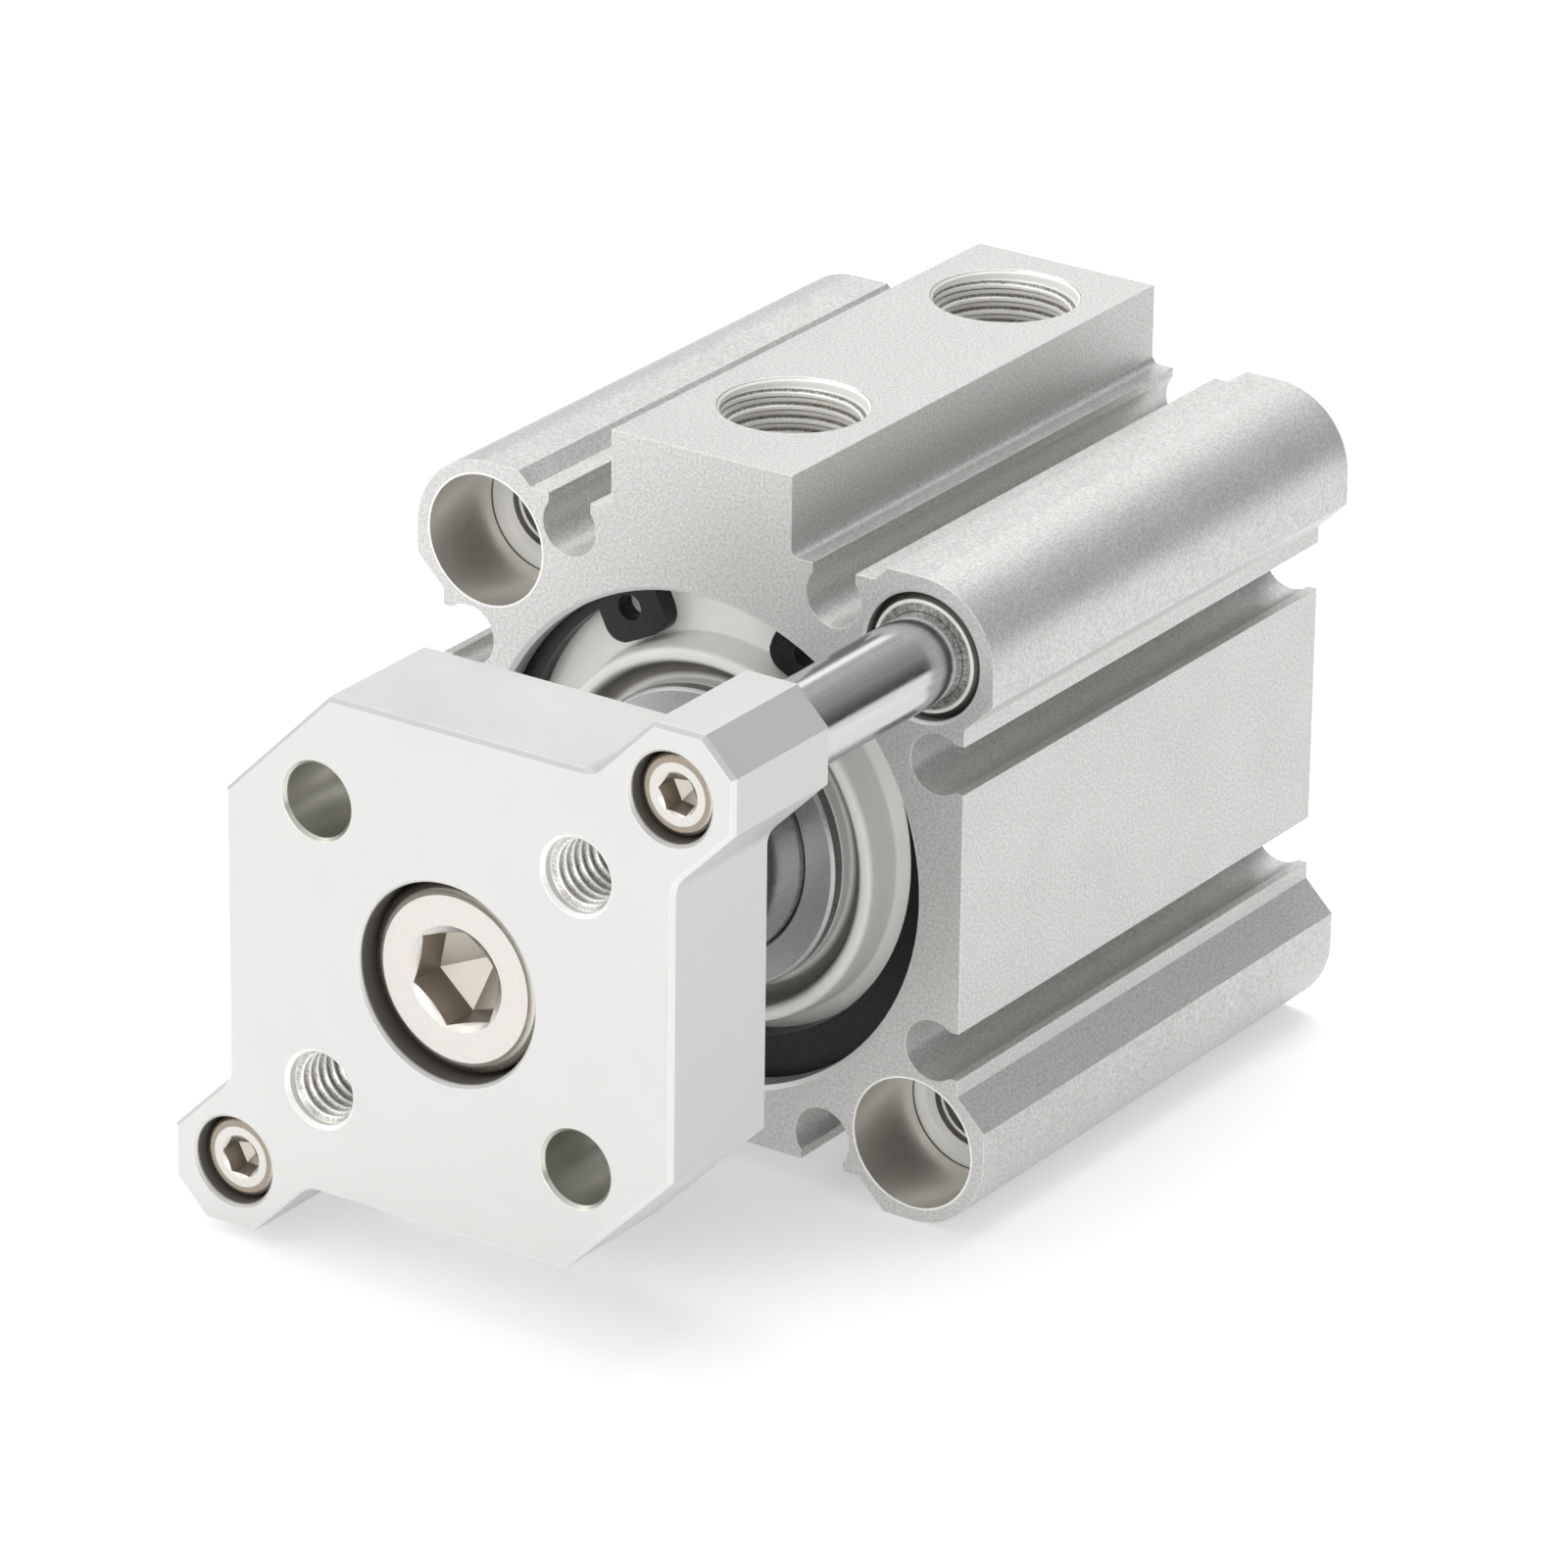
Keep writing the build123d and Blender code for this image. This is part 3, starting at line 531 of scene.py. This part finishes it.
def nickel_steel():
    """Screws: pale nickel plate, with painted shade in the sockets and round the face, and painted
    light on the side of the rim facing +X.
    """
    material, tree = start_material("nickel_steel")
    grain = noise(tree, 0.35 * MM, 3.0)
    along = coordinate(tree, 1)
    bolt_core = near_axes(tree, [(0, 0)], bolt_head_r * socket_share)
    bolt_socket = both(tree, bolt_core, beyond(tree, along, bolt_face + bolt_socket_lip))
    guide_core = near_axes(tree, guide_places, guide_head_r * socket_share)
    guide_socket = both(tree, guide_core, beyond(tree, along, guide_face + guide_socket_lip))
    socket_shade = either(tree, bolt_socket, guide_socket)
    bolt_top = near_axes(tree, [(0, 0)], bolt_head_r * bolt_face_share)
    guide_top = near_axes(tree, guide_places, guide_head_r * guide_face_share)
    face = either(tree, bolt_top, guide_top)
    guide_heads = near_axes(tree, guide_places, 2 * guide_head_r)
    painted_lit_side = remap(tree, facing(tree, 0), 0.1, 0.5, 0, 1)
    # Round the face: painted shade, darker on the guide screws, with painted light on the side
    # facing +X.
    painted_rim_light_and_shade = mix(tree, guide_heads, tone(118, 113, 106), tone(150, 140, 127))
    painted_rim_light_and_shade = mix(tree, painted_lit_side, painted_rim_light_and_shade, tone(214, 210, 203))
    colour = mix(tree, grain, tone(202, 199, 194), tone(210, 207, 202))
    # Sockets: painted shade.
    colour = mix(tree, socket_shade, colour, tone(184, 176, 166))
    colour = mix(tree, face, painted_rim_light_and_shade, colour)
    # Edge colour: bright on the face, the painted rim light and shade elsewhere.
    edge_light_and_shade = mix(tree, face, painted_rim_light_and_shade, tone(246, 245, 242))
    roughness = blend(tree, socket_shade, vary(tree, grain, 0.22, 0.3), 0.4)
    dress(tree, colour, roughness, grain, 0.0004 * MM, 0.05 * MM, edge_light_and_shade, 0.95)
    return material


def black_spring_steel():
    """Snap ring: blackened and oiled steel."""
    material, tree = start_material("black_spring_steel")
    grain = noise(tree, 0.15 * MM, 3.0)
    colour = mix(tree, contrast(tree, grain), tone(14, 13, 13), tone(28, 27, 27))
    roughness = vary(tree, grain, 0.26, 0.34)
    dress(tree, colour, roughness, grain, 0.002 * MM, 0.1 * MM, tone(84, 82, 80), 0.4)
    return material


def bearing_metal():
    """Rod bush: grey bearing metal."""
    material, tree = start_material("bearing_metal")
    rings = turned_rings(tree, radius_from(tree, 0, 0), 0.18 * MM)
    grain = noise(tree, 0.3 * MM, 3.0)
    colour = mix(tree, grain, tone(172, 171, 172), tone(194, 193, 193))
    roughness = vary(tree, grain, 0.26, 0.36)
    dress(tree, colour, roughness, rings, 0.003 * MM, 0.1 * MM, tone(240, 240, 241), 0.8)
    return material


def bush_metal():
    """Guide bushes: mottled sintered metal with painted shade on the chamfers and a bright line
    round the face, partly burnished edge and partly painted highlight.
    """
    material, tree = start_material("bush_metal")
    grain = noise(tree, 0.18 * MM, 4.0)
    burnish_and_highlight_line = 0.0
    for x, z in guide_places:
        reach = radius_from(tree, x, z)
        ring = between(tree, reach, bush_line_low, bush_line_high, 0.1 * MM)
        burnish_and_highlight_line = either(tree, burnish_and_highlight_line, ring)
    colour = mix(tree, contrast(tree, grain), tone(128, 125, 118), tone(198, 196, 190))
    # Chamfers: painted shade.
    colour = mix(tree, cut_edges(tree), colour, tone(96, 93, 88))
    # Line round the face: partly burnished edge and partly painted highlight.
    colour = mix(tree, burnish_and_highlight_line, colour, tone(250, 249, 246))
    roughness = vary(tree, grain, 0.3, 0.45)
    metallic = remap(tree, burnish_and_highlight_line, 0, 1, 0.9, 0.4)
    dress(tree, colour, roughness, grain, 0.01 * MM, 0.05 * MM, tone(236, 235, 231), metallic)
    return material


def cut_metal(name, dark, light, metallic, root):
    """Freshly cut thread: flanks from dark to light, darkened as painted shade, with painted
    highlights on the crests and painted light at the roots.
    """
    material, tree = start_material(name)
    grain = noise(tree, 0.15 * MM, 3.0)
    crest = add(tree, "Attribute", attribute_name="crest").outputs["Fac"]
    rough_crest = maths(tree, "ADD", crest, maths(tree, "MULTIPLY", grain, 0.3))
    # Painted highlight on the crests.
    crest_highlight = remap(tree, rough_crest, 0.8, 1.0, 0, 1)
    # Flanks: darkened as painted shade, varying with the grain.
    flank = mix(tree, contrast(tree, grain), dark, light)
    # Roots: painted light.
    flank = mix(tree, inside(tree, crest, root, 0.12), flank, tone(244, 243, 238))
    colour = mix(tree, crest_highlight, flank, tone(252, 251, 247))
    roughness = vary(tree, grain, 0.3, 0.42)
    dress(tree, colour, roughness, grain, 0.004 * MM, 0.04 * MM, tone(240, 239, 235), metallic)
    return material


def polymer(name, dark, light, low, high):
    """Rubber or resin: dull, with a fine grain and a roughness from low to high."""
    material, tree = start_material(name)
    grain = noise(tree, 0.2 * MM, 3.0)
    colour = mix(tree, grain, dark, light)
    dress(tree, colour, vary(tree, grain, low, high), grain, 0.01 * MM, 0.08 * MM, light, 0.0)
    return material


# Cut metal of the threads: dark and light tones of the flanks, darkened as painted shade, metallic,
# and how far up a root gets painted light
cut_metals = {
    "port_thread": (tone(104, 102, 95), tone(170, 168, 159), 0.3, 0.26),
    "plate_thread": (tone(168, 166, 158), tone(224, 222, 215), 0.6, 0.08),
    "bolt_thread": (tone(120, 117, 110), tone(176, 173, 166), 0.2, 0.08),
}
# Rubbers and resins: dark and light tones, least and most roughness
polymers = {
    "seal_rubber": (tone(30, 30, 30), tone(50, 50, 50), 0.45, 0.6),
    "magnet_rubber": (tone(46, 42, 40), tone(66, 60, 56), 0.55, 0.7),
    "bumper_urethane": (tone(150, 120, 70), tone(180, 148, 92), 0.4, 0.5),
    "wear_resin": (tone(206, 200, 186), tone(224, 219, 206), 0.45, 0.6),
}
finishes = {
    "anodised_body": anodised_body(),
    "anodised_plate": anodised_plate(),
    "cast_aluminium": cast_aluminium(),
    "machined_aluminium": machined_aluminium(),
    "chromed_steel": chromed_steel(),
    "nickel_steel": nickel_steel(),
    "black_spring_steel": black_spring_steel(),
    "bearing_metal": bearing_metal(),
    "bush_metal": bush_metal(),
    **{name: cut_metal(name, *settings) for name, settings in cut_metals.items()},
    **{name: polymer(name, *settings) for name, settings in polymers.items()},
}


def finish_nodes():
    """Give each CAD node the finish of its slot in the record."""
    for part in frame["record"]["subparts"]:
        node = frame["nodes"][part["node"]]
        node.data.materials.clear()
        node.data.materials.append(finishes[part["material_slot"]])


finish_nodes()


# Threads, as helical ridges let into the wall of their hole
STEPS_PER_TURN = 48
RUNOUT_STEPS = STEPS_PER_TURN / 3
BACK_DEPTH = 0.03 * MM
# Section of the ridge: shifts along the axis in pitches, each with its share of the height
RIDGE = [(-0.48, 0), (-0.09, 1), (0.09, 1), (0.48, 0)]


def wind_ridge(start, axis, length, hole_r, pitch, height, mouth_r):
    """Closed form of one ridge, with each vertex's share of the height in its crest layer."""
    along = Vector(axis)
    across = along.orthogonal().normalized()
    beside = along.cross(across)
    count = int((length / pitch - 1) * STEPS_PER_TURN)
    back_r = hole_r + BACK_DEPTH
    form = bmesh.new()
    crest = form.verts.layers.float.new("crest")
    rows = []
    for step in range(count + 1):
        angle = 2 * math.pi * step / STEPS_PER_TURN
        out = math.cos(angle) * across + math.sin(angle) * beside
        rise = min(1, step / RUNOUT_STEPS, (count - step) / RUNOUT_STEPS)
        depth = pitch * (0.5 + step / STEPS_PER_TURN)
        top_r = min(max(hole_r - height, mouth_r - depth), hole_r)
        row = []
        for shift, share in RIDGE:
            radius = back_r + share * rise * (top_r - back_r)
            spot = Vector(start) + radius * out + (depth + shift * pitch) * along
            vertex = form.verts.new(spot)
            vertex[crest] = share
            row.append(vertex)
        rows.append(row)
    for first, second in zip(rows, rows[1:]):
        for k in range(len(RIDGE)):
            n = (k + 1) % len(RIDGE)
            form.faces.new((first[k], first[n], second[n], second[k]))
    form.faces.new(rows[0])
    form.faces.new(rows[-1])
    bmesh.ops.recalc_face_normals(form, faces=form.faces)
    return form


def cut_thread(name, body, slot, start, axis, length, hole_r, pitch, height, finish, mouth_r=0):
    """Internal thread from start along axis, with run-out at both ends.

    A mouth_r above the crests' radius keeps the first turns clear of a countersink of that radius.
    """
    form = wind_ridge(start, axis, length, hole_r, pitch, height, mouth_r)
    mesh = bpy.data.meshes.new(name)
    form.to_mesh(mesh)
    form.free()
    piece = bpy.data.objects.new(name, mesh)
    bpy.context.scene.collection.objects.link(piece)
    mesh.materials.append(finishes[finish])
    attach(piece, body)


def cut_threads():
    """Threads in the ports, in two of the plate's holes and in both ends of the bolt holes."""
    for name in ("port_rod_side", "port_head_side"):
        port = mount(name)
        x, y, _ = port["pos_m"]
        start = (x, y, tube_high.z - port_thread_start)
        length = port["dims"]["length_mm"] * MM - port_thread_start
        cut_thread(
            f"thread_{name}", BODY, "anodised_body",
            start, (0, 0, -1), length, port_r, **port_thread,
        )
    length = plate_high.y - plate_low.y - 2 * plate_thread_start
    for name, (x, z) in zip(("upper", "lower"), tapped_holes):
        start = (x, plate_low.y + plate_thread_start, z)
        cut_thread(
            f"thread_plate_{name}", ROD, "anodised_plate",
            start, (0, 1, 0), length, tapped_hole_r, **plate_thread, mouth_r=plate_mouth_r,
        )
    for name, (x, z) in zip(("upper", "lower"), bolt_places):
        for end, face, along in (("front", tube_low.y, 1), ("rear", tube_high.y, -1)):
            start = (x, face + along * (bolt_hole_start + bolt_thread_start), z)
            cut_thread(
                f"thread_bolt_{name}_{end}", BODY, "anodised_body",
                start, (0, along, 0), bolt_thread_length, bolt_hole_r, **bolt_thread,
            )


cut_threads()
